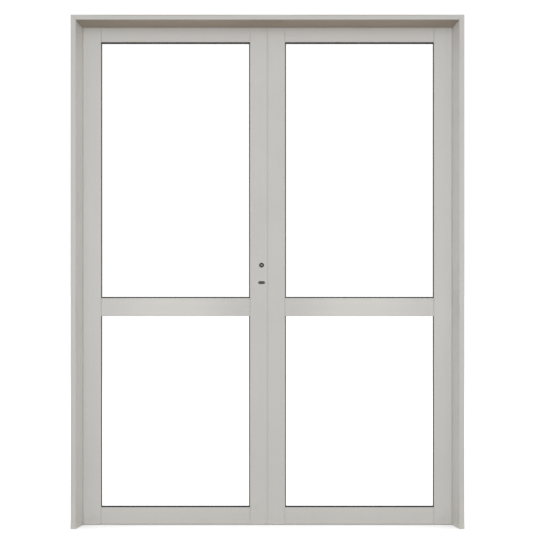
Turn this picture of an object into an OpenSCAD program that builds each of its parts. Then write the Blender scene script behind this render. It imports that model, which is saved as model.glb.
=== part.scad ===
// Aluminium double door: two glazed leaves in a three-piece frame with mitred top corners.
// Millimetres. The origin is on the left jamb's wall face, at floor level, halfway through the frame.
// +X runs to the right jamb, +Y to the hinge side (away from the viewer), +Z up.

/* [Frame] */
// Width over the jambs' wall faces
frame_w = 1600; // [1300:1:2000]
// Height from the floor to the head's wall face
frame_h = 2090; // [1900:1:2500]
// Depth of the jambs and head, front to back
frame_d = 112; // [90:1:150]
// Width of the flat front flange
flange_w = 20; // [14:0.5:30]
// Distance from the wall face to the stop's inner edge
stop_w = 38; // [30:0.5:50]
// Thickness of the frame behind the stop, beside a leaf
rebate_w = 19; // [15:0.5:24]
// Wall thickness of the frame's hollow profile
frame_wall = 2; // [1.5:0.1:3]

/* [Frame fixings] */
// Radius of a wall screw's hole
fixing_r = 4; // [3:0.25:5]
// Height of the lowest wall screw
fixing_low_z = 250; // [150:5:400]
// Height of the second wall screw
fixing_mid_z = 750; // [550:5:900]

/* [Leaves] */
// Thickness of a leaf, front to back
leaf_d = 42; // [38:1:50]
// Gap between a leaf and the stop in front of it
stop_gap = 5; // [5:0.5:8]
// Gap between a leaf and the frame around it
edge_gap = 5; // [5:0.5:8]
// Gap between the two leaves' meeting edges
meet_gap = 8.4; // [8.4:0.1:12]
// Gap between the stiles' feet and the floor
foot_gap = 3; // [3:0.5:15]
// How much higher the bottom rail ends than the stiles
rail_lift = 1.5; // [0:0.5:5]
// Width of a hinge stile
hinge_stile_w = 89.6; // [70:0.2:110]
// Width of a meeting stile
meet_stile_w = 68.4; // [60:0.2:90]
// Height of a top rail
top_rail_h = 74; // [55:0.5:100]
// Height of a mid rail
mid_rail_h = 75; // [55:0.5:100]
// Height of a mid rail's middle above the floor
mid_rail_z = 899; // [750:1:1050]
// Height of a bottom rail
bottom_rail_h = 68.2; // [60:0.1:250]
// Wall thickness of the leaves' hollow profiles
leaf_wall = 2; // [1.5:0.1:3]
// Width of the open seam between a rail and its hinge stile
rail_seam = 0.4; // [0.1:0.1:1]

/* [Glazing] */
// How far the front lip covers the glazing rebate
lip_w = 16; // [12:0.5:22]
// Thickness of the glass
glass_t = 8; // [6:0.1:12]
// Space between the glass edge and the bottom of its rebate
glass_play = 4; // [3:0.5:6]
// Thickness of the front gasket, between lip and glass
front_gasket_t = 4; // [3:0.25:5]
// Thickness of the back gasket, between glass and bead
back_gasket_t = 3; // [2:0.25:5]
// Width of the chamfer along a lip's edge
lip_chamfer = 1.4; // [0.5:0.1:1.8]
// How far the gaskets show beside a hinge stile
gasket_show_hinge = 1.9; // [1:0.1:5]
// How far the gaskets show beside a meeting stile
gasket_show_meeting = 3.6; // [1:0.1:5]
// How far an upper pane's gasket shows under the top rail
gasket_show_top = 4.5; // [1:0.1:8]
// How far an upper pane's gasket shows over the mid rail
gasket_show_mid = 4.2; // [1:0.1:8]
// How far a lower pane's gasket shows over the bottom rail
gasket_show_foot = 3.2; // [1:0.1:8]
// How far the gaskets reach back behind the lip
gasket_cover = 8; // [5:0.5:12]
// How far a bead covers the glazing rebate
bead_h = 13; // [10:0.5:20]
// Wall thickness of a glazing bead
bead_wall = 1.5; // [1:0.1:2]
// Width of the chamfer along a bead's edge
bead_chamfer = 5; // [2:0.5:8]
// Clearance at the ends of the upright beads
bead_play = 0.3; // [0.1:0.1:1]

/* [Seal slots] */
// Width of a slot's mouth
mouth_w = 2.5; // [2:0.1:3]
// Width of the slot behind its mouth
slot_w = 5; // [4:0.1:6]
// Depth of the slot behind its mouth
slot_d = 2.5; // [2:0.1:3]
// Wall thickness round the slot
slot_wall = 1.2; // [1:0.1:1.5]
// Clearance of a seal's root in its slot
root_play = 0.2; // [0.1:0.05:0.3]

/* [Stop gasket] */
// Width of the gasket's flat base on the stop
stop_gasket_w = 6; // [4:0.5:9]
// Thickness of the gasket's flat base
stop_gasket_base = 1.2; // [1:0.1:1.5]
// Wall thickness of the gasket's hollow bulb
bulb_wall = 1; // [0.6:0.1:1.4]
// Distance from the stop's inner edge to the gasket
stop_gasket_in = 3; // [1:0.5:6]
// Clearance between the bulb and a closed leaf
stop_gasket_play = 0.5; // [0.3:0.1:1]

/* [Hinges] */
// Height of the lower hinge's middle
hinge_low_z = 230; // [180:5:300]
// Height of the middle hinge's middle
hinge_mid_z = 1150; // [950:5:1400]
// Height of the upper hinge's middle
hinge_high_z = 1860; // [1750:5:1950]
// Height of a hinge
hinge_h = 100; // [80:1:140]
// Outer radius of a hinge knuckle
knuckle_r = 8; // [7:0.25:10]
// Radius of a hinge pin
pin_r = 5; // [4:0.25:6]
// Radial clearance of the leaf's knuckle on its pin
pin_play = 0.05; // [0.01:0.01:0.1]
// Gap between the knuckles
knuckle_gap = 0.5; // [0.3:0.1:1]
// Thickness of a hinge plate
plate_t = 4; // [3:0.5:5]
// Distance from a hinge's axis to the leaf's back face
axis_out = 8.5; // [8:0.1:11]
// Width of the plate on a leaf
leaf_plate_w = 36; // [30:1:60]
// Gap between a plate and the other half's knuckles
plate_play = 1; // [0.5:0.25:3]
// Height of the cap at each end of a pin
pin_cap_h = 3.5; // [2:0.5:6]
// Width of the chamfer round a pin's cap
pin_cap_chamfer = 1.5; // [0.5:0.25:2]
// Radius of a hinge screw's hole
screw_r = 2.75; // [2:0.25:3]
// Radius of a hinge screw's countersink
sink_r = 5; // [4:0.25:5.5]
// Distance from a hinge's ends to its screws
screw_in = 12; // [8:0.5:20]
// Distance from the leaf plate's long edges to its screws
screw_edge = 9; // [7:0.5:12]

/* [Lock] */
// Height of the handle spindle
spindle_z = 1072; // [950:1:1150]
// Distance from the spindle down to the cylinder
cylinder_drop = 72; // [60:1:92]
// Distance from the meeting edge to the spindle
backset = 20.3; // [18:0.1:30]
// Radius of the spindle's hole
spindle_hole_r = 10; // [8:0.25:12]
// Width across the flats of the square spindle
spindle_w = 8; // [7:0.5:10]
// Length of the cylinder's slot
slot_l = 29; // [24:0.5:34]
// Height of the cylinder's slot
slot_h = 12.5; // [10:0.5:17]
// Clearance round the cylinder in its slot
cylinder_play = 0.4; // [0.2:0.1:1]
// Width of the keyway
keyway_w = 2.5; // [1.5:0.25:4]
// Height of the keyway
keyway_h = 8; // [6:0.5:9]
// Depth of the keyway, from each end of the cylinder
keyway_d = 15; // [8:1:16]
// How far the spindle and the cylinder end behind the leaf's faces
lock_recess = 1; // [0.5:0.5:4]
// Height of the lock case
case_h = 165; // [140:1:200]
// Depth of the lock case, from its forend
case_w = 38; // [32:1:44]
// Thickness of the lock case
case_t = 15; // [12:0.5:20]
// Width of the forend and strike plates
forend_w = 22; // [18:0.5:26]
// Height of the forend and strike plates
forend_h = 235; // [200:1:280]
// Thickness of the forend and strike plates
forend_t = 3; // [2:0.5:4]
// Clearance round a plate let into a stile
forend_play = 0.3; // [0.2:0.1:1]
// Height of the latch bolt
latch_h = 32; // [26:1:38]
// Thickness of the latch bolt
latch_t = 12; // [10:0.5:14]
// Height of the dead bolt
dead_bolt_h = 36; // [26:1:40]
// Thickness of the dead bolt
dead_bolt_t = 10; // [8:0.5:12]
// Clearance round the bolts in the forend
bolt_play = 0.4; // [0.2:0.1:1]
// How far the strike plate's openings are larger than the bolts, all round
strike_play = 2; // [1:0.5:3]
// Distance from a let-in plate's ends to its screws
plate_screw_in = 12; // [8:0.5:20]

/* [Flush bolts] */
// Radius of a flush bolt's rod
rod_r = 5; // [4:0.5:7]
// Distance from the meeting edge to the rod
rod_in = 14; // [11:0.5:20]
// Clearance of the rod in the head's hole
rod_play = 1.5; // [1:0.25:3]
// Height of a flush bolt's lever
lever_h = 62; // [40:1:80]
// Thickness of a flush bolt's lever
lever_t = 9; // [7:0.5:12]
// Height of a flush bolt's plate
bolt_plate_h = 175; // [120:5:250]
// Distance from a leaf's end to its flush bolt's plate
bolt_plate_in = 100; // [60:5:200]

/* [Meeting seal] */
// How far a seal stands out of its meeting edge
seal_t = 1.5; // [1:0.1:1.7]
// Width of a seal
seal_w = 5; // [3:0.5:8]
// Distance from the leaf's back face to the seal
seal_in = 2.5; // [1:0.5:5]

/* [Hidden] */
$fn = 48;
more = 1;
far = 3000;
front_y = -frame_d / 2;
back_y = frame_d / 2;
leaf_y = back_y - leaf_d;
stop_y = leaf_y - stop_gap;
mid_x = frame_w / 2;
lean = (stop_w - flange_w) / (stop_y - front_y);
lean_wall = frame_wall * sqrt(1 + lean * lean);
leaf_x = rebate_w + edge_gap;
leaf_end_x = mid_x - meet_gap / 2;
leaf_top_z = frame_h - rebate_w - edge_gap;
open_x0 = leaf_x + hinge_stile_w;
open_x1 = leaf_end_x - meet_stile_w;
tube_x0 = open_x0 - lip_w;
tube_x1 = open_x1 + lip_w;
upper_z1 = leaf_top_z - top_rail_h;
upper_z0 = mid_rail_z + mid_rail_h / 2;
lower_z1 = mid_rail_z - mid_rail_h / 2;
rail_z = foot_gap + rail_lift;
lower_z0 = rail_z + bottom_rail_h;
glass_y = leaf_y + leaf_wall + front_gasket_t;
bead_y = glass_y + glass_t + back_gasket_t;
axis_x = rebate_w + edge_gap / 2;
axis_y = back_y + axis_out;
leaf_mid_y = leaf_y + leaf_d / 2;
spindle_x = leaf_end_x - backset;
cylinder_z = spindle_z - cylinder_drop;
case_z = (spindle_z + cylinder_z) / 2;
hinge_zs = [hinge_low_z, hinge_mid_z, hinge_high_z];
plate_x = knuckle_r + plate_play;
knuckle_h = (hinge_h - 2 * knuckle_gap) / 3;
gasket_x = stop_w - stop_gasket_in - stop_gasket_w / 2;
bulb_r = (stop_gap - stop_gasket_play) / 2;
seal_y = back_y - seal_in - seal_w / 2;
front_seal_y = leaf_y + seal_in + seal_w / 2;
rod_x = leaf_end_x - rod_in;
bolt_zs = [foot_gap + bolt_plate_in, leaf_top_z - bolt_plate_in - bolt_plate_h];

module on_right() {
  translate([frame_w, 0, 0]) mirror([1, 0, 0]) children();
}

// Turns a shape drawn across Y and Z into a bar along X.
module along_x(x0, length) {
  translate([x0, 0, 0]) rotate([90, 0, 90]) linear_extrude(length) children();
}

// A slot's T-shaped hollow, open towards +Y, with its mouth's outer face at the origin.
module slot_hollow(wall) {
  translate([-mouth_w / 2, -wall - more]) square([mouth_w, wall + 2 * more]);
  translate([-slot_w / 2, -wall - slot_d]) square([slot_w, slot_d]);
}

// The walls that stand behind a slot, inside the profile.
module slot_walls(wall) {
  translate([-slot_w / 2 - slot_wall, -wall - slot_d - slot_wall])
    square([slot_w + 2 * slot_wall, slot_d + slot_wall + more]);
}

// A seal's root in its slot, up to the mouth's outer face.
module slot_root(wall) {
  translate([-mouth_w / 2 + root_play, -wall - root_play]) square([mouth_w - 2 * root_play, wall + root_play]);
  translate([-slot_w / 2 + root_play, -wall - slot_d + root_play])
    square([slot_w - 2 * root_play, slot_d - 2 * root_play]);
}

// The frame's hollow section: X from the wall face, Y through the depth.
module frame_section() {
  difference() {
    polygon([[0, front_y], [flange_w, front_y], [stop_w, stop_y], [rebate_w, stop_y],
      [rebate_w, back_y], [0, back_y]]);
    difference() {
      frame_hollow();
      translate([gasket_x, stop_y]) slot_walls(frame_wall);
    }
    translate([gasket_x, stop_y]) slot_hollow(frame_wall);
  }
}

module frame_hollow() {
  polygon([[frame_wall, front_y + frame_wall],
    [flange_w + lean * frame_wall - lean_wall, front_y + frame_wall],
    [stop_w - lean * frame_wall - lean_wall, stop_y - frame_wall],
    [rebate_w - frame_wall, stop_y - frame_wall],
    [rebate_w - frame_wall, back_y - frame_wall], [frame_wall, back_y - frame_wall]]);
}

// Everything above the mitre that starts at the left top corner.
module above_mitre() {
  translate([0, 0, frame_h]) rotate([0, 45, 0]) translate([-far, -frame_d, 0])
    cube([2 * far, 2 * frame_d, far]);
}

// Everything below the same mitre.
module below_mitre() {
  translate([0, 0, frame_h]) rotate([0, 45, 0]) translate([-far, -frame_d, -far])
    cube([2 * far, 2 * frame_d, far]);
}

module jamb_shape() {
  difference() {
    linear_extrude(frame_h) frame_section();
    above_mitre();
    for (z = [fixing_low_z, fixing_mid_z, frame_h - fixing_mid_z, frame_h - fixing_low_z])
      translate([-more, leaf_mid_y, z]) rotate([0, 90, 0])
        cylinder(r = fixing_r, h = rebate_w + 2 * more);
  }
}

module left_jamb() {
  color([0.75, 0.75, 0.73]) jamb_shape();
}

module right_jamb() {
  color([0.75, 0.75, 0.73]) on_right() jamb_shape();
}

module head() {
  color([0.75, 0.75, 0.73]) difference() {
    translate([0, 0, frame_h]) rotate([0, 90, 0]) linear_extrude(frame_w) frame_section();
    below_mitre();
    on_right() below_mitre();
    on_right() translate([rod_x, leaf_mid_y, frame_h - rebate_w - more])
      cylinder(r = rod_r + rod_play, h = frame_wall + 2 * more);
  }
}

// The stop gasket's section: a root in the slot, a flat base and a hollow bulb.
module stop_gasket_section() {
  translate([gasket_x, stop_y]) {
    slot_root(frame_wall);
    difference() {
      union() {
        translate([-stop_gasket_w / 2, 0]) square([stop_gasket_w, stop_gasket_base]);
        translate([0, bulb_r]) circle(r = bulb_r);
      }
      translate([0, bulb_r]) circle(r = bulb_r - bulb_wall);
    }
  }
}

module stop_gasket_shape() {
  difference() {
    linear_extrude(frame_h) stop_gasket_section();
    above_mitre();
  }
}

module left_stop_gasket() {
  color([0.12, 0.12, 0.12]) stop_gasket_shape();
}

module right_stop_gasket() {
  color([0.12, 0.12, 0.12]) on_right() stop_gasket_shape();
}

module head_stop_gasket() {
  color([0.12, 0.12, 0.12]) difference() {
    translate([0, 0, frame_h]) rotate([0, 90, 0]) linear_extrude(frame_w) stop_gasket_section();
    below_mitre();
    on_right() below_mitre();
  }
}

// A knuckle of the hinge whose middle is at z, starting low above the hinge's foot.
module knuckle(z, low, bore) {
  translate([axis_x, axis_y, z - hinge_h / 2 + low]) difference() {
    cylinder(r = knuckle_r, h = knuckle_h);
    translate([0, 0, -more]) cylinder(r = bore, h = knuckle_h + 2 * more);
  }
}

// A countersunk screw hole through a hinge plate.
module screw_hole(x, z) {
  translate([x, back_y, z]) rotate([-90, 0, 0]) {
    translate([0, 0, -more]) cylinder(r = screw_r, h = plate_t + 2 * more);
    translate([0, 0, plate_t - sink_r + screw_r]) cylinder(r1 = screw_r, r2 = sink_r, h = sink_r - screw_r);
    translate([0, 0, plate_t]) cylinder(r = sink_r, h = more);
  }
}

module frame_hinge(z) {
  for (low = [0, 2 * (knuckle_h + knuckle_gap)]) {
    knuckle(z, low, pin_r);
    difference() {
      translate([axis_x - plate_x, back_y, z - hinge_h / 2 + low]) cube([plate_x, plate_t, knuckle_h]);
      translate([axis_x, axis_y, 0]) cylinder(r = pin_r, h = far);
    }
  }
  difference() {
    translate([more, back_y, z - hinge_h / 2]) cube([axis_x - plate_x - more, plate_t, hinge_h]);
    for (s = [-1, 1]) screw_hole((axis_x - plate_x + more) / 2, z + s * (hinge_h / 2 - screw_in));
  }
}

module frame_hinges_shape() {
  for (z = hinge_zs) frame_hinge(z);
}

module left_frame_hinges() {
  color([0.7, 0.7, 0.7]) frame_hinges_shape();
}

module right_frame_hinges() {
  color([0.7, 0.7, 0.7]) on_right() frame_hinges_shape();
}

module hinge_pins_shape() {
  for (z = hinge_zs) translate([axis_x, axis_y, z]) {
    cylinder(r = pin_r, h = hinge_h, center = true);
    for (s = [0, 1]) mirror([0, 0, s]) translate([0, 0, hinge_h / 2]) pin_cap();
  }
}

module pin_cap() {
  cylinder(r = knuckle_r, h = pin_cap_h - pin_cap_chamfer);
  translate([0, 0, pin_cap_h - pin_cap_chamfer])
    cylinder(r1 = knuckle_r, r2 = knuckle_r - pin_cap_chamfer, h = pin_cap_chamfer);
}

module left_hinge_pins() {
  color([0.6, 0.6, 0.6]) hinge_pins_shape();
}

module right_hinge_pins() {
  color([0.6, 0.6, 0.6]) on_right() hinge_pins_shape();
}

module leaf_hinge(z) {
  low = knuckle_h + knuckle_gap;
  knuckle(z, low, pin_r + pin_play);
  difference() {
    translate([axis_x, back_y, z - hinge_h / 2 + low]) cube([plate_x, plate_t, knuckle_h]);
    translate([axis_x, axis_y, 0]) cylinder(r = pin_r + pin_play, h = far);
  }
  difference() {
    translate([axis_x + plate_x, back_y, z - hinge_h / 2]) cube([leaf_plate_w, plate_t, hinge_h]);
    for (x = [screw_edge, leaf_plate_w - screw_edge], s = [-1, 1])
      screw_hole(axis_x + plate_x + x, z + s * (hinge_h / 2 - screw_in));
  }
}

module leaf_hinges_shape() {
  for (z = hinge_zs) leaf_hinge(z);
}

module left_leaf_hinges() {
  color([0.7, 0.7, 0.7]) leaf_hinges_shape();
}

module right_leaf_hinges() {
  color([0.7, 0.7, 0.7]) on_right() leaf_hinges_shape();
}

// A stile's section: a tube between outer_x and inner_x, with a lip that runs on to lip_x over the
// glazing rebate. Walls that stand inside the tube are its children.
module stile_section(outer_x, inner_x, lip_x) {
  way = lip_x > inner_x ? 1 : -1;
  lip_back_y = leaf_y + leaf_wall;
  difference() {
    polygon([[outer_x, leaf_y], [lip_x - way * lip_chamfer, leaf_y], [lip_x, leaf_y + lip_chamfer],
      [lip_x, lip_back_y], [inner_x, lip_back_y], [inner_x, back_y], [outer_x, back_y]]);
    difference() {
      translate([min(outer_x, inner_x) + leaf_wall, lip_back_y])
        square([abs(inner_x - outer_x) - 2 * leaf_wall, leaf_d - 2 * leaf_wall]);
      children();
    }
  }
}

module hinge_stile_shape() {
  translate([0, 0, foot_gap]) linear_extrude(leaf_top_z - foot_gap)
    stile_section(leaf_x, tube_x0, open_x0);
}

module meeting_stile_shape() {
  translate([0, 0, foot_gap]) linear_extrude(leaf_top_z - foot_gap) difference() {
    stile_section(leaf_end_x, tube_x1, open_x1)
      for (y = [front_seal_y, seal_y]) at_meeting_edge(y) slot_walls(leaf_wall);
    for (y = [front_seal_y, seal_y]) at_meeting_edge(y) slot_hollow(leaf_wall);
  }
}

// Turns a slot's shape so that its mouth opens through the meeting edge at depth y.
module at_meeting_edge(y) {
  translate([leaf_end_x, y]) rotate(-90) children();
}

module left_hinge_stile() {
  color([0.76, 0.76, 0.74]) hinge_stile_shape();
}

module right_hinge_stile() {
  color([0.76, 0.76, 0.74]) on_right() hinge_stile_shape();
}

// An opening in the meeting edge for a plate let into it.
module edge_opening(z, h) {
  translate([leaf_end_x - forend_t - forend_play, leaf_mid_y - forend_w / 2 - forend_play, z - forend_play])
    cube([forend_t + forend_play + more, forend_w + 2 * forend_play, h + 2 * forend_play]);
}

// A block in the meeting edge's middle, from start to stop behind the edge.
module edge_block(start, stop, w, z, h) {
  translate([leaf_end_x - start, leaf_mid_y - w / 2, z - h / 2]) cube([start - stop, w, h]);
}

// A flush plate in the meeting edge, with its two countersunk screw holes.
module edge_plate(z, h) {
  difference() {
    edge_block(forend_t, 0, forend_w, z + h / 2, h);
    for (hole_z = [z + plate_screw_in, z + h - plate_screw_in])
      translate([leaf_end_x, leaf_mid_y, hole_z]) rotate([0, -90, 0]) {
        translate([0, 0, -more]) cylinder(r = screw_r, h = forend_t + 2 * more);
        cylinder(r1 = sink_r, r2 = screw_r, h = sink_r - screw_r);
      }
  }
}

// Openings for the latch bolt and the dead bolt, grown by grow all round.
module bolt_openings(grow) {
  edge_block(forend_t + more, -more, latch_t + 2 * grow, spindle_z, latch_h + 2 * grow);
  edge_block(forend_t + more, -more, dead_bolt_t + 2 * grow, cylinder_z, dead_bolt_h + 2 * grow);
}

// The cylinder's oblong outline, grown or shrunk by grow, as a bar through the leaf.
module oblong(grow, y0, length) {
  r = slot_h / 2 + grow;
  reach = (slot_l - slot_h) / 2;
  translate([spindle_x, y0, cylinder_z]) rotate([-90, 0, 0]) {
    for (s = [-1, 1]) translate([s * reach, 0, 0]) cylinder(r = r, h = length);
    translate([-reach, -r, 0]) cube([2 * reach, 2 * r, length]);
  }
}

module left_meeting_stile() {
  color([0.76, 0.76, 0.74]) difference() {
    meeting_stile_shape();
    edge_opening(case_z - forend_h / 2, forend_h);
    translate([spindle_x, leaf_y - more, spindle_z]) rotate([-90, 0, 0])
      cylinder(r = spindle_hole_r, h = leaf_d + 2 * more);
    oblong(0, leaf_y - more, leaf_d + 2 * more);
  }
}

module right_meeting_stile() {
  color([0.76, 0.76, 0.74]) on_right() difference() {
    meeting_stile_shape();
    edge_opening(case_z - forend_h / 2, forend_h);
    for (z = bolt_zs) edge_opening(z, bolt_plate_h);
  }
}

// A rail's section across Y and Z: a tube with a lip below it, above it or both.
module rail_section(z0, z1, low_lip, high_lip) {
  tube_z0 = z0 + (low_lip ? lip_w : 0);
  tube_z1 = z1 - (high_lip ? lip_w : 0);
  lip_back_y = leaf_y + leaf_wall;
  low_edge = low_lip
    ? [[lip_back_y, tube_z0], [lip_back_y, z0], [leaf_y + lip_chamfer, z0], [leaf_y, z0 + lip_chamfer]]
    : [[leaf_y, z0]];
  high_edge = high_lip
    ? [[leaf_y, z1 - lip_chamfer], [leaf_y + lip_chamfer, z1], [lip_back_y, z1], [lip_back_y, tube_z1]]
    : [[leaf_y, z1]];
  difference() {
    polygon(concat([[back_y, tube_z0]], low_edge, high_edge, [[back_y, tube_z1]]));
    translate([lip_back_y, tube_z0 + leaf_wall])
      square([leaf_d - 2 * leaf_wall, tube_z1 - tube_z0 - 2 * leaf_wall]);
  }
}

// A rail between the stiles' tubes, notched at both ends for the stiles' lips.
module rail(z0, z1, low_lip, high_lip) {
  difference() {
    along_x(tube_x0 + rail_seam, tube_x1 - tube_x0 - rail_seam) rail_section(z0, z1, low_lip, high_lip);
    for (x = [tube_x0 + rail_seam - more, open_x1])
      translate([x, leaf_y - more, z0 - more])
        cube([lip_w + more, leaf_wall + more, z1 - z0 + 2 * more]);
  }
}

module top_rail_shape() {
  rail(upper_z1, leaf_top_z, true, false);
}

module mid_rail_shape() {
  rail(lower_z1, upper_z0, true, true);
}

module bottom_rail_shape() {
  rail(rail_z, lower_z0, false, true);
}

module left_top_rail() {
  color([0.76, 0.76, 0.74]) top_rail_shape();
}

module right_top_rail() {
  color([0.76, 0.76, 0.74]) on_right() top_rail_shape();
}

module left_mid_rail() {
  color([0.8, 0.8, 0.78]) mid_rail_shape();
}

module right_mid_rail() {
  color([0.8, 0.8, 0.78]) on_right() mid_rail_shape();
}

module left_bottom_rail() {
  color([0.75, 0.75, 0.73]) bottom_rail_shape();
}

module right_bottom_rail() {
  color([0.75, 0.75, 0.73]) on_right() bottom_rail_shape();
}

module pane(z0, z1) {
  grow = lip_w - glass_play;
  translate([open_x0 - grow, glass_y, z0 - grow])
    cube([open_x1 - open_x0 + 2 * grow, glass_t, z1 - z0 + 2 * grow]);
}

// A rectangular rubber ring round an opening.
module gasket_ring(z0, z1, y0, t, show_foot, show_top) {
  c = gasket_cover;
  show_w = open_x1 - open_x0 - gasket_show_hinge - gasket_show_meeting;
  difference() {
    translate([open_x0 - c, y0, z0 - c]) cube([open_x1 - open_x0 + 2 * c, t, z1 - z0 + 2 * c]);
    translate([open_x0 + gasket_show_hinge, y0 - more, z0 + show_foot])
      cube([show_w, t + 2 * more, z1 - z0 - show_foot - show_top]);
  }
}

module gaskets(z0, z1, show_foot, show_top) {
  gasket_ring(z0, z1, leaf_y + leaf_wall, front_gasket_t, show_foot, show_top);
  gasket_ring(z0, z1, glass_y + glass_t, back_gasket_t, show_foot, show_top);
}

// A bead's hollow section: X from the gasket to the back face, Y from the rebate to the opening.
module bead_section() {
  d = back_y - bead_y;
  c = bead_chamfer;
  w = bead_wall;
  inner = c + w * (sqrt(2) - 1);
  difference() {
    polygon([[0, 0], [d, 0], [d, bead_h - c], [d - c, bead_h], [0, bead_h]]);
    polygon([[w, w], [d - w, w], [d - w, bead_h - inner], [d - inner, bead_h - w], [w, bead_h - w]]);
  }
}

// Four beads behind a pane: two across, and two upright between them.
module beads(z0, z1) {
  translate([0, bead_y, z0 - lip_w]) along_x(tube_x0, tube_x1 - tube_x0) bead_section();
  translate([0, bead_y, z1 + lip_w]) mirror([0, 0, 1]) along_x(tube_x0, tube_x1 - tube_x0) bead_section();
  foot = z0 - lip_w + bead_h + bead_play;
  upright = z0 + z1 - 2 * foot;
  translate([tube_x0, bead_y, foot]) linear_extrude(upright) mirror([1, -1]) bead_section();
  translate([tube_x1, bead_y, foot]) linear_extrude(upright) rotate(90) bead_section();
}

module left_upper_glass() {
  color([0.85, 0.9, 0.9, 0.35]) pane(upper_z0, upper_z1);
}

module left_lower_glass() {
  color([0.85, 0.9, 0.9, 0.35]) pane(lower_z0, lower_z1);
}

module right_upper_glass() {
  color([0.85, 0.9, 0.9, 0.35]) on_right() pane(upper_z0, upper_z1);
}

module right_lower_glass() {
  color([0.85, 0.9, 0.9, 0.35]) on_right() pane(lower_z0, lower_z1);
}

module left_upper_gaskets() {
  color([0.12, 0.12, 0.12]) gaskets(upper_z0, upper_z1, gasket_show_mid, gasket_show_top);
}

module left_lower_gaskets() {
  color([0.12, 0.12, 0.12]) gaskets(lower_z0, lower_z1, gasket_show_foot, 0);
}

module right_upper_gaskets() {
  color([0.12, 0.12, 0.12]) on_right() gaskets(upper_z0, upper_z1, gasket_show_mid, gasket_show_top);
}

module right_lower_gaskets() {
  color([0.12, 0.12, 0.12]) on_right() gaskets(lower_z0, lower_z1, gasket_show_foot, 0);
}

module left_upper_beads() {
  color([0.74, 0.74, 0.72]) beads(upper_z0, upper_z1);
}

module left_lower_beads() {
  color([0.74, 0.74, 0.72]) beads(lower_z0, lower_z1);
}

module right_upper_beads() {
  color([0.74, 0.74, 0.72]) on_right() beads(upper_z0, upper_z1);
}

module right_lower_beads() {
  color([0.74, 0.74, 0.72]) on_right() beads(lower_z0, lower_z1);
}

// Two seals in the meeting edge's slots: a flush one in front and a proud one at the back.
module meeting_seal_shape() {
  translate([0, 0, foot_gap]) linear_extrude(leaf_top_z - foot_gap) {
    at_meeting_edge(front_seal_y) slot_root(leaf_wall);
    at_meeting_edge(seal_y) {
      slot_root(leaf_wall);
      translate([-seal_w / 2, 0]) square([seal_w, seal_t]);
    }
  }
}

module left_meeting_seal() {
  color([0.6, 0.6, 0.58]) meeting_seal_shape();
}

module right_meeting_seal() {
  color([0.6, 0.6, 0.58]) on_right() meeting_seal_shape();
}

module lock_case() {
  color([0.5, 0.5, 0.5]) difference() {
    translate([leaf_end_x - forend_t - case_w, leaf_mid_y - case_t / 2, case_z - case_h / 2])
      cube([case_w, case_t, case_h]);
    translate([spindle_x - spindle_w / 2, leaf_y, spindle_z - spindle_w / 2])
      cube([spindle_w, leaf_d, spindle_w]);
    oblong(0, leaf_y, leaf_d);
  }
}

module lock_forend() {
  color([0.6, 0.6, 0.6]) difference() {
    edge_plate(case_z - forend_h / 2, forend_h);
    bolt_openings(bolt_play);
  }
}

// The latch bolt and the dead bolt, both drawn back.
module lock_bolts() {
  color([0.65, 0.65, 0.65]) {
    edge_block(forend_t, lock_recess / 2, latch_t, spindle_z, latch_h);
    edge_block(forend_t, lock_recess / 2, dead_bolt_t, cylinder_z, dead_bolt_h);
  }
}

module handle_spindle() {
  color([0.6, 0.6, 0.6]) translate([spindle_x - spindle_w / 2, leaf_y + lock_recess, spindle_z - spindle_w / 2])
    cube([spindle_w, leaf_d - 2 * lock_recess, spindle_w]);
}

// The cylinder's bar, with a keyway in each end.
module lock_cylinder() {
  length = leaf_d - 2 * lock_recess;
  color([0.35, 0.33, 0.3]) difference() {
    oblong(-cylinder_play, leaf_y + lock_recess, length);
    for (s = [-1, 1])
      translate([spindle_x, leaf_mid_y + s * length / 2, cylinder_z])
        cube([keyway_w, 2 * keyway_d, keyway_h], center = true);
  }
}

module strike_plate() {
  color([0.6, 0.6, 0.6]) on_right() difference() {
    edge_plate(case_z - forend_h / 2, forend_h);
    bolt_openings(strike_play);
  }
}

module flush_bolt_plates() {
  color([0.6, 0.6, 0.6]) on_right() for (z = bolt_zs) difference() {
    edge_plate(z, bolt_plate_h);
    edge_block(forend_t + more, -more, lever_t + 2 * bolt_play, z + bolt_plate_h / 2, lever_h + 2 * bolt_play);
  }
}

// A lever in its plate, the block behind it, and the rod that runs to the leaf's end, drawn back.
module flush_bolt(plate_z, rod_z0, rod_z1) {
  z = plate_z + bolt_plate_h / 2;
  edge_block(forend_t, lock_recess / 2, lever_t, z, lever_h);
  edge_block(rod_in, forend_t, forend_w, z, lever_h + 2 * sink_r);
  translate([rod_x, leaf_mid_y, rod_z0]) cylinder(r = rod_r, h = rod_z1 - rod_z0);
}

module flush_bolts() {
  color([0.65, 0.65, 0.65]) on_right() {
    flush_bolt(bolt_zs[0], foot_gap, bolt_zs[0] + bolt_plate_h / 2);
    flush_bolt(bolt_zs[1], bolt_zs[1] + bolt_plate_h / 2, leaf_top_z);
  }
}

left_jamb();
right_jamb();
head();
left_stop_gasket();
right_stop_gasket();
head_stop_gasket();
left_frame_hinges();
right_frame_hinges();
left_hinge_pins();
right_hinge_pins();
left_hinge_stile();
left_meeting_stile();
left_top_rail();
left_mid_rail();
left_bottom_rail();
left_upper_glass();
left_lower_glass();
left_upper_gaskets();
left_lower_gaskets();
left_upper_beads();
left_lower_beads();
left_leaf_hinges();
left_meeting_seal();
lock_case();
lock_forend();
lock_bolts();
handle_spindle();
lock_cylinder();
right_hinge_stile();
right_meeting_stile();
right_top_rail();
right_mid_rail();
right_bottom_rail();
right_upper_glass();
right_lower_glass();
right_upper_gaskets();
right_lower_gaskets();
right_upper_beads();
right_lower_beads();
right_leaf_hinges();
right_meeting_seal();
strike_plate();
flush_bolt_plates();
flush_bolts();
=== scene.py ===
import math

import bmesh
import bpy
from mathutils import Matrix, Vector


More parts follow.
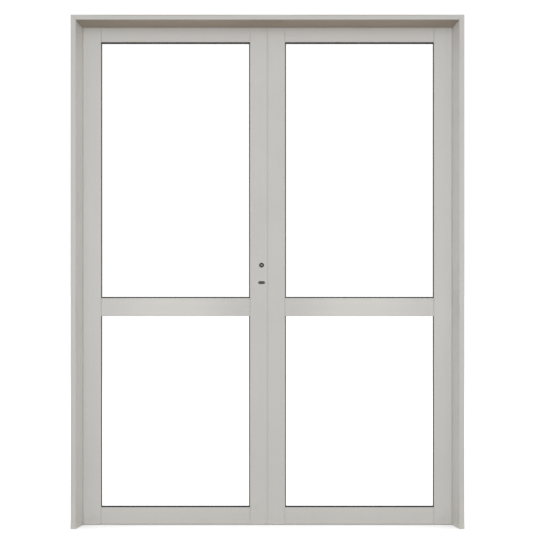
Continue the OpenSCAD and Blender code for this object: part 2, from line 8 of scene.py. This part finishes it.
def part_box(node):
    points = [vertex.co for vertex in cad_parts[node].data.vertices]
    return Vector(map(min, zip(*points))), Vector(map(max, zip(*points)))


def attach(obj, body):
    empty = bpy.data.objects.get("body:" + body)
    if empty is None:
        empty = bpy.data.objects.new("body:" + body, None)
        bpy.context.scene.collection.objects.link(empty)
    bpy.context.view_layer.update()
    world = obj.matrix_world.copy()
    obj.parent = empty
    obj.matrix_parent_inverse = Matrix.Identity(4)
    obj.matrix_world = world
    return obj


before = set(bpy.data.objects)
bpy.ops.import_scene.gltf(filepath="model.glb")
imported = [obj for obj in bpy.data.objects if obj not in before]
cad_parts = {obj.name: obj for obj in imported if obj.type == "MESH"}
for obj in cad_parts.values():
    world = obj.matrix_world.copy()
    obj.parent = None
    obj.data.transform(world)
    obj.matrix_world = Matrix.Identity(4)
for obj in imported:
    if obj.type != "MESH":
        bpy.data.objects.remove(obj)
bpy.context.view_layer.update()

MM = 0.001

# sizes read from the frame
LEFT, RIGHT = "left_leaf", "right_leaf"
jamb_lo, jamb_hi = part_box("left_jamb")
stile_lo, stile_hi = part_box("left_meeting_stile")
seal_lo, seal_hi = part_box("left_meeting_seal")
frame_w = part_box("head")[1][0]
frame_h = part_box("head")[1][2]
MID_X = frame_w / 2
FRONT_Y = jamb_lo[1]
BACK_Y = jamb_hi[1]
LEAF_Y = stile_lo[1]
LEAF_FOOT, LEAF_TOP = stile_lo[2], stile_hi[2]
LEAF_MIDDLE = MID_X - (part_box("left_hinge_stile")[1][0] + stile_lo[0]) / 2

# camera
CAMERA_H = 1.085
CAMERA_AWAY = 4.40
PICTURE_W = 2.1935
SENSOR = 36.0
SHIFT_X = 0.0046
SHIFT_Y = -0.0148

# colours, linear
METAL = (0.478, 0.480, 0.472)
JAMB_METAL = (0.452, 0.455, 0.447)
# painted sheen about the middle of each mid rail
MID_RAIL_SHEEN = (0.545, 0.545, 0.53)
STEEL = (0.42, 0.42, 0.41)
RUBBER = (0.014, 0.014, 0.015)
DUST = (0.05, 0.048, 0.045)
DIRT = (0.17, 0.12, 0.075)
# painted light: the paler colour mixed in near the floor and beside the stops
PALE_PAINTED_LIGHT = (0.655, 0.640, 0.600)
FOOT_PAINTED_LIGHT_H = 0.24
FOOT_PAINTED_LIGHT = 0.17
LOW_PAINTED_LIGHT_H = 0.03
# how much darker a thin line under the head's top edge is made
TOP_LINE_DARKENING = 0.24
# painted light on the hinge stiles next to the stops
STOP_PAINTED_LIGHT = 0.5
STOP_PAINTED_LIGHT_W = 18 * MM
FLANGE_W = 20 * MM
MITRE_HALF = 0.3 * MM
MITRE_WIDENS = 3.0
MITRE_DIRT = 0.5
# stains: distance from the middle and height, radius, strength
STAINS = (((0.0745, 0.879), 0.0042, 0.22), ((0.0136, 0.0985), 0.0030, 0.06), ((0.0725, 0.897), 0.0020, 0.05))
# painted light: how much lighter the side faces of the reveals are made
PAINTED_REVEAL_LIGHT = 1.36
# painted shade: a brown tint multiplied into faces that look down
UNDER_PAINTED_SHADE = (0.79, 0.71, 0.63)
FLOOR_BOUNCE = (0.43, 0.345, 0.265)
FLOOR_GLOW = 0.16
SKY = (1.08, 1.085, 1.09)


def new_group(name, inputs, outputs):
    """A shader node group with its sockets, and its node tree."""
    group = bpy.data.node_groups.new(name, "ShaderNodeTree")
    for socket, kind, value in inputs:
        made = group.interface.new_socket(socket, in_out="INPUT", socket_type=kind)
        made.default_value = value
    for socket, kind in outputs:
        group.interface.new_socket(socket, in_out="OUTPUT", socket_type=kind)
    return group


def math_node(tree, operation, first, second=None, clamp=False):
    """A math node whose inputs are sockets or numbers."""
    node = tree.nodes.new("ShaderNodeMath")
    node.operation = operation
    node.use_clamp = clamp
    for socket, value in zip(node.inputs, (first, second)):
        if value is None:
            continue
        if isinstance(value, (int, float)):
            socket.default_value = value
        else:
            tree.links.new(value, socket)
    return node.outputs[0]


def noise(tree, vector, scale, detail=3.0, rough=0.55):
    node = tree.nodes.new("ShaderNodeTexNoise")
    node.inputs["Scale"].default_value = scale
    node.inputs["Detail"].default_value = detail
    node.inputs["Roughness"].default_value = rough
    tree.links.new(vector, node.inputs["Vector"])
    return node.outputs["Fac"]


def ramp(tree, value, low, high, out_low=0.0, out_high=1.0):
    node = tree.nodes.new("ShaderNodeMapRange")
    node.interpolation_type = "SMOOTHSTEP"
    tree.links.new(value, node.inputs["Value"])
    for name, number in (("From Min", low), ("From Max", high), ("To Min", out_low), ("To Max", out_high)):
        node.inputs[name].default_value = number
    return node.outputs["Result"]


def mix(tree, factor, first, second, blend="MIX"):
    node = tree.nodes.new("ShaderNodeMix")
    node.data_type = "RGBA"
    node.blend_type = blend
    for name, value in (("Factor_Float", factor), ("A_Color", first), ("B_Color", second)):
        socket = next(s for s in node.inputs if s.identifier == name)
        if isinstance(value, (int, float)):
            socket.default_value = value
        elif isinstance(value, tuple):
            socket.default_value = (*value, 1)
        else:
            tree.links.new(value, socket)
    return next(s for s in node.outputs if s.identifier == "Result_Color")


def spot(tree, across, up, place, radius):
    """A round mask about a point, given by its distance from the middle and its height."""
    sideways = math_node(tree, "SUBTRACT", across, place[0])
    rise = math_node(tree, "SUBTRACT", up, place[1])
    square = math_node(tree, "ADD", math_node(tree, "MULTIPLY", sideways, sideways),
                       math_node(tree, "MULTIPLY", rise, rise))
    return ramp(tree, math_node(tree, "SQRT", square), 0.3 * radius, radius, 1.0, 0.0)


def satin_group():
    """Satin coated extrusion: die lines along the profile, mottling, specks, dirt at the foot and in the mitres, with
    painted light on the reveals and near the floor and painted shade on faces that look down.
    """
    group = new_group(
        "satin_extrusion",
        [("Color", "NodeSocketColor", (*METAL, 1)), ("Stretch", "NodeSocketVector", (1, 1, 1)),
         ("Dirt", "NodeSocketFloat", 1.0), ("Painted Reveal Light", "NodeSocketFloat", 1.0), ("Mitre", "NodeSocketFloat", 0.0)],
        [("Color", "NodeSocketColor"), ("Roughness", "NodeSocketFloat"), ("Height", "NodeSocketFloat")])
    nodes, links = group.nodes, group.links
    into = nodes.new("NodeGroupInput")
    out = nodes.new("NodeGroupOutput")
    place = nodes.new("ShaderNodeTexCoord").outputs["Object"]
    stretch = nodes.new("ShaderNodeVectorMath")
    stretch.operation = "MULTIPLY"
    links.new(place, stretch.inputs[0])
    links.new(into.outputs["Stretch"], stretch.inputs[1])
    lines = noise(group, stretch.outputs[0], 1.0, 2.0)
    mottle = noise(group, place, 5.0, 3.0)
    specks = noise(group, place, 330.0, 1.0)
    shade = math_node(group, "MULTIPLY", ramp(group, mottle, 0.3, 0.7, 0.97, 1.0),
                      ramp(group, lines, 0.25, 0.75, 0.985, 1.01))

    # painted light: faces that look sideways toward the middle, the reveals, are made lighter, and more so further
    # back from the front
    split = nodes.new("ShaderNodeSeparateXYZ")
    links.new(place, split.inputs[0])
    faces = nodes.new("ShaderNodeSeparateXYZ")
    links.new(nodes.new("ShaderNodeTexCoord").outputs["Normal"], faces.inputs[0])
    to_middle = math_node(group, "SUBTRACT", MID_X, split.outputs["X"])
    inward = math_node(group, "MULTIPLY", math_node(group, "SIGN", to_middle), faces.outputs["X"])
    side_painted_light = math_node(group, "SUBTRACT", into.outputs["Painted Reveal Light"], 1.0)
    side_painted_light = math_node(group, "MULTIPLY", ramp(group, inward, 0.75, 0.95), side_painted_light)
    side_painted_light = math_node(group, "MULTIPLY", side_painted_light, ramp(group, split.outputs["Y"], FRONT_Y, LEAF_Y, 0.88, 1.2))
    shade = math_node(group, "MULTIPLY", shade, math_node(group, "ADD", side_painted_light, 1.0))
    colour = mix(group, 1.0, into.outputs["Color"], shade, "MULTIPLY")
    # painted shade: faces that look down, such as the head's soffit, take the brown tint
    under = ramp(group, faces.outputs["Z"], -0.95, -0.75, 1.0, 0.0)
    colour = mix(group, under, colour, mix(group, 1.0, colour, UNDER_PAINTED_SHADE, "MULTIPLY"))

    # painted light: a paler colour mixed in low down, lightest at the floor, which lifts the shade there
    dust = math_node(group, "ADD", ramp(group, split.outputs["Z"], 0.0, FOOT_PAINTED_LIGHT_H, FOOT_PAINTED_LIGHT, 0.0),
                     ramp(group, split.outputs["Z"], 0.0, LOW_PAINTED_LIGHT_H, FOOT_PAINTED_LIGHT, 0.0))
    colour = mix(group, dust, colour, PALE_PAINTED_LIGHT)

    # dirt near the floor, specks, and a few small stains
    near_foot = ramp(group, split.outputs["Z"], 0.0, 0.16, 1.0, 0.0)
    dirt = math_node(group, "MULTIPLY", near_foot, ramp(group, noise(group, place, 26.0, 5.0), 0.5, 0.8, 0.0, 0.12))
    dirt = math_node(group, "MULTIPLY", dirt, into.outputs["Dirt"])
    marks = math_node(group, "ADD", dirt, ramp(group, specks, 0.73, 0.78, 0.0, 0.10), True)
    across = math_node(group, "ABSOLUTE", to_middle)
    for centre, radius, strength in STAINS:
        stain = math_node(group, "MULTIPLY", spot(group, across, split.outputs["Z"], centre, radius), strength)
        marks = math_node(group, "ADD", marks, stain, True)

    # dirt in the frame's mitres, where a point is as far from the side as from the top
    from_side = math_node(group, "SUBTRACT", MID_X, across)
    from_top = math_node(group, "SUBTRACT", frame_h, split.outputs["Z"])
    off = math_node(group, "ABSOLUTE", math_node(group, "SUBTRACT", from_side, from_top))
    wide = ramp(group, from_side, FLANGE_W, FLANGE_W + 1 * MM, 1.0, MITRE_WIDENS)
    line = ramp(group, math_node(group, "DIVIDE", off, wide), MITRE_HALF, MITRE_HALF + 0.1 * MM, MITRE_DIRT, 0.0)
    line = math_node(group, "MULTIPLY", line, into.outputs["Mitre"])
    marks = math_node(group, "MAXIMUM", marks, line)
    links.new(mix(group, marks, colour, DIRT), out.inputs["Color"])
    links.new(ramp(group, mottle, 0.25, 0.75, 0.40, 0.50), out.inputs["Roughness"])
    links.new(lines, out.inputs["Height"])
    return group


SATIN = satin_group()


def shader(name):
    material = bpy.data.materials.new(name)
    material.use_nodes = True
    tree = material.node_tree
    return material, tree, tree.nodes["Principled BSDF"]


def satin(name, colour, stretch, metallic=0.25, dirt=1.0, reveal_painted_light=1.0, mitre=0.0):
    material, tree, surface = shader(name)
    made = tree.nodes.new("ShaderNodeGroup")
    made.node_tree = SATIN
    made.inputs["Color"].default_value = (*colour, 1)
    made.inputs["Stretch"].default_value = stretch
    made.inputs["Dirt"].default_value = dirt
    made.inputs["Painted Reveal Light"].default_value = reveal_painted_light
    made.inputs["Mitre"].default_value = mitre
    surface.inputs["Metallic"].default_value = metallic
    tree.links.new(made.outputs["Color"], surface.inputs["Base Color"])
    tree.links.new(made.outputs["Roughness"], surface.inputs["Roughness"])
    dent = tree.nodes.new("ShaderNodeBump")
    dent.inputs["Strength"].default_value = 0.02
    dent.inputs["Distance"].default_value = 0.2 * MM
    tree.links.new(made.outputs["Height"], dent.inputs["Height"])
    tree.links.new(dent.outputs["Normal"], surface.inputs["Normal"])
    return material


def tinted(material, mask, colour):
    """Mixes a colour into a coat by a mask, which is a function of the tree, the distance from the middle and Z."""
    tree = material.node_tree
    split = tree.nodes.new("ShaderNodeSeparateXYZ")
    tree.links.new(tree.nodes.new("ShaderNodeTexCoord").outputs["Object"], split.inputs[0])
    across = math_node(tree, "ABSOLUTE", math_node(tree, "SUBTRACT", split.outputs["X"], MID_X))
    made = next(node for node in tree.nodes if node.type == "GROUP")
    base = tuple(made.inputs["Color"].default_value)[:3]
    tree.links.new(mix(tree, mask(tree, across, split.outputs["Z"]), base, colour), made.inputs["Color"])
    return material


def painted_sheen_middle(tree, across, up):
    """Painted sheen: a mid rail made lighter about the middle of its leaf."""
    off = math_node(tree, "ABSOLUTE", math_node(tree, "SUBTRACT", across, LEAF_MIDDLE))
    return ramp(tree, off, 0.05, 0.31, 1.0, 0.0)


def dark_line_under_top(tree, across, up):
    """A thin darker line under the top edge of the head, strongest above the middle of each leaf."""
    below = math_node(tree, "SUBTRACT", frame_h, up)
    line = math_node(tree, "MULTIPLY", ramp(tree, below, 0.8 * MM, 1.8 * MM),
                     ramp(tree, below, 4.4 * MM, 5.4 * MM, 1.0, 0.0))
    off = math_node(tree, "ABSOLUTE", math_node(tree, "SUBTRACT", across, MID_X / 2))
    return math_node(tree, "MULTIPLY", line, ramp(tree, off, 0.18, 0.40, TOP_LINE_DARKENING, 0.0))


def painted_light_by_stop(tree, across, up):
    """Painted light: the hinge stile made paler next to the stop, where the deep reveal shades it."""
    from_stop = math_node(tree, "SUBTRACT", MID_X - jamb_hi[0], across)
    return ramp(tree, from_stop, 0.0, STOP_PAINTED_LIGHT_W, STOP_PAINTED_LIGHT, 0.0)


UPRIGHT = (420.0, 420.0, 2.5)
LEVEL = (2.5, 420.0, 420.0)
EVEN = (60.0, 60.0, 60.0)


def rubber_group():
    """Rubber with a fine grain of dust."""
    group = new_group("dusty_rubber", [("Color", "NodeSocketColor", (*RUBBER, 1))], [("Color", "NodeSocketColor")])
    into = group.nodes.new("NodeGroupInput")
    out = group.nodes.new("NodeGroupOutput")
    place = group.nodes.new("ShaderNodeTexCoord").outputs["Object"]
    cover = ramp(group, noise(group, place, 240.0, 2.0), 0.35, 0.75, 0.0, 0.3)
    group.links.new(mix(group, cover, into.outputs["Color"], DUST), out.inputs["Color"])
    return group


DUSTY_RUBBER = rubber_group()


def rubber(name, colour):
    material, tree, surface = shader(name)
    made = tree.nodes.new("ShaderNodeGroup")
    made.node_tree = DUSTY_RUBBER
    made.inputs["Color"].default_value = (*colour, 1)
    tree.links.new(made.outputs["Color"], surface.inputs["Base Color"])
    surface.inputs["Specular IOR Level"].default_value = 0.2
    surface.inputs["Roughness"].default_value = 0.62
    return material


def clear_glass():
    """Clear glass that lets the pale background through and mirrors a little at a slant."""
    material, tree, surface = shader("clear_glass")
    tree.nodes.remove(surface)
    through = tree.nodes.new("ShaderNodeBsdfTransparent")
    through.inputs["Color"].default_value = (0.985, 0.992, 0.988, 1)
    mirror = tree.nodes.new("ShaderNodeBsdfGlossy")
    mirror.inputs["Roughness"].default_value = 0.01
    fresnel = tree.nodes.new("ShaderNodeFresnel")
    fresnel.inputs["IOR"].default_value = 1.5
    inside = tree.nodes.new("ShaderNodeNewGeometry").outputs["Backfacing"]
    outer = math_node(tree, "MULTIPLY", fresnel.outputs[0], math_node(tree, "SUBTRACT", 1.0, inside))
    both = tree.nodes.new("ShaderNodeMixShader")
    tree.links.new(outer, both.inputs[0])
    tree.links.new(through.outputs[0], both.inputs[1])
    tree.links.new(mirror.outputs[0], both.inputs[2])
    tree.links.new(both.outputs[0], tree.nodes["Material Output"].inputs["Surface"])
    return material


materials = {
    "upright": satin("satin_upright", METAL, UPRIGHT),
    "jamb": satin("satin_jamb", JAMB_METAL, UPRIGHT, reveal_painted_light=PAINTED_REVEAL_LIGHT, mitre=1.0),
    "head": tinted(satin("satin_head", JAMB_METAL, LEVEL, dirt=0.0, mitre=1.0), dark_line_under_top, DIRT),
    "hinge_side": tinted(satin("satin_hinge_stile", METAL, UPRIGHT), painted_light_by_stop, PALE_PAINTED_LIGHT),
    "level": satin("satin_level", METAL, LEVEL, dirt=0.3),
    "mid": tinted(satin("satin_mid_rail", METAL, LEVEL, dirt=0.0), painted_sheen_middle, MID_RAIL_SHEEN),
    "steel": satin("satin_steel", STEEL, EVEN, metallic=0.9, dirt=0.3),
    "spindle": satin("dull_spindle", (0.20, 0.185, 0.165), EVEN, metallic=0.6, dirt=0.0),
    "cylinder": satin("tarnished_cylinder", (0.088, 0.072, 0.060), EVEN, metallic=0.6, dirt=0.0),
    "case": satin("browned_lock_case", (0.020, 0.0145, 0.0095), EVEN, metallic=0.1, dirt=0.0),
    "rubber": rubber("black_rubber", RUBBER),
    "seal": rubber("grey_seal", (0.30, 0.296, 0.285)),
    # a grey stop gasket, made paler than its own colour as painted light against the shade in the gap by the stop
    "stop_seal": rubber("pale_stop_gasket", (0.40, 0.395, 0.38)),
    "screw": satin("zinc_screw", (0.33, 0.33, 0.325), EVEN, metallic=0.9, dirt=0.0),
    "lip": satin("soft_lip", METAL, UPRIGHT, metallic=0.0, dirt=1.0),
    "glass": clear_glass(),
}

KINDS = (("stop_gasket", "stop_seal"), ("gasket", "rubber"), ("hinge_stile", "hinge_side"), ("glass", "glass"), ("seal", "seal"), ("pins", "steel"), ("lock_case", "case"),
         ("cylinder", "cylinder"), ("forend", "steel"), ("spindle", "spindle"), ("strike", "steel"),
         ("bolt", "steel"),
         ("mid_rail", "mid"), ("rail", "level"), ("head", "head"), ("jamb", "jamb"),
         ("beads", "level"))


def kind_of(node):
    return next((kind for word, kind in KINDS if word in node), "upright")


def dress(obj, kind, edge=0.0):
    """Gives obj a material, and a small radius along its sharp edges."""
    obj.data.materials.clear()
    obj.data.materials.append(materials[kind])
    if edge:
        bevel = obj.modifiers.new("edge_radius", "BEVEL")
        bevel.width = edge
        bevel.segments = 2
        bevel.limit_method = "ANGLE"
        bevel.angle_limit = math.radians(40)
        bevel.harden_normals = True


SHARP = ("rubber", "glass", "seal", "stop_seal", "cylinder", "case")
for name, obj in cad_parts.items():
    kind = kind_of(name)
    dress(obj, kind, 0.0 if kind in SHARP else 0.4 * MM)


def bar_piece(name, outline, z0, z1, kind, body):
    """A bar from z0 to z1 whose outline is a list of X, Y corners. It rides on a body."""
    shape = bmesh.new()
    foot = [shape.verts.new((x, y, z0)) for x, y in outline]
    top = [shape.verts.new((x, y, z1)) for x, y in outline]
    shape.faces.new(foot[::-1])
    shape.faces.new(top)
    for i in range(len(outline)):
        j = (i + 1) % len(outline)
        shape.faces.new((foot[i], foot[j], top[j], top[i]))
    bmesh.ops.recalc_face_normals(shape, faces=shape.faces)
    mesh = bpy.data.meshes.new(name)
    shape.to_mesh(mesh)
    shape.free()
    obj = bpy.data.objects.new(name, mesh)
    bpy.context.scene.collection.objects.link(obj)
    dress(obj, kind)
    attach(obj, body)


def cross_recess(reach, half):
    """The corners of a screw head's cross, in order round it."""
    corner = [(half, half), (half, reach), (-half, reach), (-half, half), (-reach, half), (-reach, -half),
              (-half, -half), (-half, -reach), (half, -reach), (half, -half), (reach, -half), (reach, half)]
    return corner[::-1]


def add_screw(shape, place, out, turn):
    """Adds a countersunk head with a cross recess. Its face lies at place, towards out."""
    rim = [(SCREW_R * math.cos(i * math.pi / 12), SCREW_R * math.sin(i * math.pi / 12)) for i in range(24)]
    cross = cross_recess(CROSS_REACH, CROSS_HALF)
    aim = Vector(out).to_track_quat("Z", "Y").to_matrix() @ Matrix.Rotation(turn, 3, "Z")

    def ring(points, depth, scale=1.0):
        return [shape.verts.new(Vector(place) + aim @ Vector((x * scale, y * scale, -depth))) for x, y in points]

    def loop(verts):
        return [shape.edges.new((verts[i], verts[(i + 1) % len(verts)])) for i in range(len(verts))]

    def wall(first, second):
        for i in range(len(first)):
            j = (i + 1) % len(first)
            shape.faces.new((first[i], first[j], second[j], second[i]))

    top, edge, neck = ring(rim, 0.1 * MM, 0.96), ring(rim, 0.3 * MM), ring(rim, SCREW_DEPTH, 0.56)
    mouth, floor = ring(cross, 0.1 * MM), ring(cross, CROSS_DEPTH, 0.8)
    bmesh.ops.triangle_fill(shape, edges=loop(top) + loop(mouth), use_beauty=True)
    wall(top, edge)
    wall(edge, neck)
    wall(mouth, floor)
    shape.faces.new(neck)
    shape.faces.new(floor)


def screws(name, places, out, body):
    """One piece with a screw at each place. It rides on a body."""
    shape = bmesh.new()
    for i, place in enumerate(places):
        add_screw(shape, place, out, 0.7 * i)
    bmesh.ops.recalc_face_normals(shape, faces=shape.faces)
    mesh = bpy.data.meshes.new(name)
    shape.to_mesh(mesh)
    shape.free()
    obj = bpy.data.objects.new(name, mesh)
    bpy.context.scene.collection.objects.link(obj)
    dress(obj, "screw")
    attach(obj, body)


# countersunk screws of the hinges and of the plates let into the meeting edges
SCREW_R = 4.7 * MM
SCREW_DEPTH = 2.1 * MM
CROSS_REACH = 2.4 * MM
CROSS_HALF = 0.45 * MM
CROSS_DEPTH = 1.4 * MM
HINGE_ZS = (0.230, 1.150, 1.860)
PLATE_FACE_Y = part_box("left_frame_hinges")[0][1] + 4 * MM
HINGE_SCREWS = [z + s * 38 * MM for z in HINGE_ZS for s in (-1, 1)]
for side, body, node in (("left", LEFT, "left_leaf_hinges"), ("right", RIGHT, "right_leaf_hinges")):
    def from_wall(x):
        return x if side == "left" else frame_w - x
    screws(side + "_frame_hinge_screws", [(from_wall(6.75 * MM), PLATE_FACE_Y, z) for z in HINGE_SCREWS],
           (0, 1, 0), "frame")
    screws(side + "_leaf_hinge_screws",
           [(from_wall(x), PLATE_FACE_Y, z) for z in HINGE_SCREWS for x in (39.5 * MM, 57.5 * MM)], (0, 1, 0), body)
MEETING_Y = (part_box("lock_forend")[0][1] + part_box("lock_forend")[1][1]) / 2
for node, body, way in (("lock_forend", LEFT, 1), ("strike_plate", RIGHT, -1)):
    low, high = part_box(node)
    face_x = high[0] if way > 0 else low[0]
    screws(node + "_screws", [(face_x, MEETING_Y, z) for z in (low[2] + 12 * MM, high[2] - 12 * MM)],
           (way, 0, 0), body)
low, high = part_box("flush_bolt_plates")
BOLT_PLATE_H = 175 * MM
screws("flush_bolt_plates_screws",
       [(low[0], MEETING_Y, z) for foot in (low[2], high[2] - BOLT_PLATE_H)
        for z in (foot + 12 * MM, foot + BOLT_PLATE_H - 12 * MM)], (-1, 0, 0), RIGHT)

# flexible lips that close the line between the leaves
LIP_T = 1.8 * MM
LIP_DIP = 0.4 * MM
HAIRLINE = 0.12 * MM
FLAP_T = 0.8 * MM
FLAP_REACH = 2.2 * MM
LIP_FOOT = LEAF_FOOT + 3 * MM
for body, side in ((LEFT, -1), (RIGHT, 1)):
    edge_x = stile_hi[0] if side < 0 else frame_w - stile_hi[0]
    tip_x = MID_X + side * HAIRLINE / 2
    bar_piece(body + "_front_lip",
              [(edge_x, LEAF_Y), (tip_x, LEAF_Y + LIP_DIP), (tip_x, LEAF_Y + LIP_DIP + LIP_T), (edge_x, LEAF_Y + LIP_T)],
              LIP_FOOT, LEAF_TOP, "lip", body)
    bar_piece(body + "_back_lip",
              [(edge_x, BACK_Y - 5 * MM), (tip_x, BACK_Y - 5 * MM), (tip_x, BACK_Y - 3 * MM), (edge_x, BACK_Y - 3 * MM)],
              LIP_FOOT, LEAF_TOP, "seal", body)
flap_y = LEAF_Y + LIP_DIP + LIP_T + 0.3 * MM
bar_piece("left_leaf_lip_flap",
          [(stile_hi[0], LEAF_Y + LIP_T), (MID_X - HAIRLINE, flap_y - 0.3 * MM), (MID_X - HAIRLINE, flap_y),
           (MID_X + FLAP_REACH, flap_y), (MID_X + FLAP_REACH, flap_y + FLAP_T), (stile_hi[0], flap_y + FLAP_T)],
          LIP_FOOT, LEAF_TOP, "seal", LEFT)


def stage_floor():
    """A pale floor. It shows white to the eye and to reflections, and gives back a warm grey to the piece."""
    mesh = bpy.data.meshes.new("floor")
    shape = bmesh.new()
    bmesh.ops.create_grid(shape, x_segments=1, y_segments=1, size=30.0)
    shape.to_mesh(mesh)
    shape.free()
    obj = bpy.data.objects.new("floor", mesh)
    bpy.context.scene.collection.objects.link(obj)
    material, tree, surface = shader("pale_floor")
    rays = tree.nodes.new("ShaderNodeLightPath").outputs
    seen = math_node(tree, "MAXIMUM", rays["Is Camera Ray"], rays["Is Glossy Ray"])
    seen = math_node(tree, "MAXIMUM", seen, rays["Is Transmission Ray"])
    tree.links.new(mix(tree, seen, FLOOR_BOUNCE, (0.93, 0.93, 0.93)), surface.inputs["Base Color"])
    surface.inputs["Roughness"].default_value = 0.9
    surface.inputs["Specular IOR Level"].default_value = 0.0
    surface.inputs["Emission Color"].default_value = (1, 1, 1, 1)
    tree.links.new(math_node(tree, "MULTIPLY", seen, FLOOR_GLOW), surface.inputs["Emission Strength"])
    obj.data.materials.append(material)


def studio_world():
    world = bpy.data.worlds.new("studio")
    bpy.context.scene.world = world
    world.use_nodes = True
    tree = world.node_tree
    back = tree.nodes["Background"]
    rays = tree.nodes.new("ShaderNodeLightPath").outputs
    seen = math_node(tree, "MAXIMUM", rays["Is Camera Ray"], rays["Is Transmission Ray"])
    tree.links.new(mix(tree, seen, SKY, (1.06, 1.06, 1.06)), back.inputs["Color"])
    back.inputs["Strength"].default_value = 1.0


def area_lamp(name, place, target, size, power):
    data = bpy.data.lights.new(name, "AREA")
    data.shape = "RECTANGLE"
    data.size, data.size_y = size
    data.energy = power
    obj = bpy.data.objects.new(name, data)
    obj.location = place
    obj.rotation_euler = (Vector(target) - Vector(place)).to_track_quat("-Z", "Y").to_euler()
    bpy.context.scene.collection.objects.link(obj)


def camera():
    data = bpy.data.cameras.new("camera")
    data.sensor_width = SENSOR
    data.lens = SENSOR * CAMERA_AWAY / PICTURE_W
    data.shift_x = SHIFT_X
    data.shift_y = SHIFT_Y
    data.clip_end = 200.0
    obj = bpy.data.objects.new("camera", data)
    obj.location = (MID_X, FRONT_Y - CAMERA_AWAY, CAMERA_H)
    obj.rotation_euler = (math.radians(90), 0, 0)
    bpy.context.scene.collection.objects.link(obj)
    bpy.context.scene.camera = obj


stage_floor()
studio_world()
area_lamp("key", (MID_X, -4.2, 4.2), (MID_X, 0, 1.0), (3.2, 1.6), 20)
for side in (-1, 1):
    area_lamp("side", (MID_X + side * 2.8, -6.0, 0.9), (MID_X, 0, 0.9), (1.6, 2.6), 46)
area_lamp("back", (MID_X, 4.0, 4.0), (MID_X, 0, 1.0), (4.0, 2.0), 60)
camera()
bpy.context.scene.view_settings.view_transform = "Standard"
